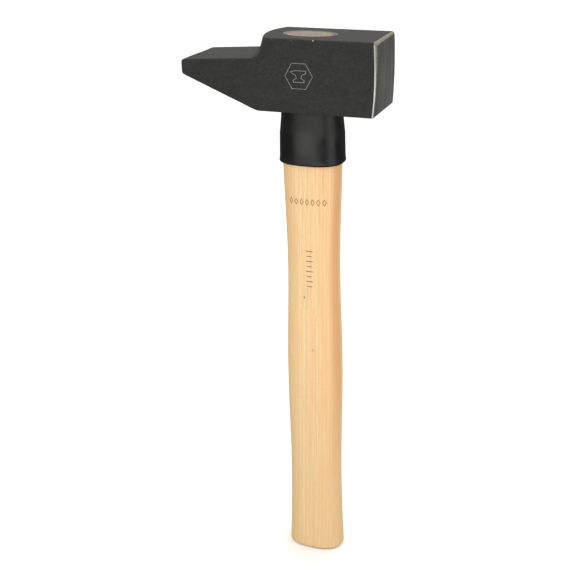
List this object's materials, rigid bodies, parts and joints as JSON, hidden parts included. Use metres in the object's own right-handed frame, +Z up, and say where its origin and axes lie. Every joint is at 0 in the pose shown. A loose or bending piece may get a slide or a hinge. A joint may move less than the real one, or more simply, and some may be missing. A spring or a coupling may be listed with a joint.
{
  "type": "blacksmith hammer",
  "caption": "Cross-peen blacksmith hammer with a forged head of nearly square section, an oval hickory handle spread by wedges in the eye, and a protective sleeve under the head.",
  "frame": {"origin": "centre of the handle's flat butt face", "axes": "+Z up the handle to the head, +X towards the striking face, -X towards the peen, the head's cheeks face -Y and +Y"},
  "size_m": [0.1205, 0.041, 0.35],
  "materials": {
    "forged_steel": "dark grey lacquer over forged steel, fine matt grain, bare ground bevel round the striking face",
    "hickory": "pale straight-grained hickory, sanded and clear varnished to a soft sheen",
    "beech": "pinkish brown beech end grain, cut flush",
    "ring_steel": "plain grey steel, cut edge",
    "sleeve_rubber": "black moulded rubber, satin"
  },
  "bodies": {
    "root": {"head": "forged_steel", "handle": "hickory", "wooden_wedge": "beech", "ring_wedge": "ring_steel", "sleeve": "sleeve_rubber"}
  },
  "joints": []
}
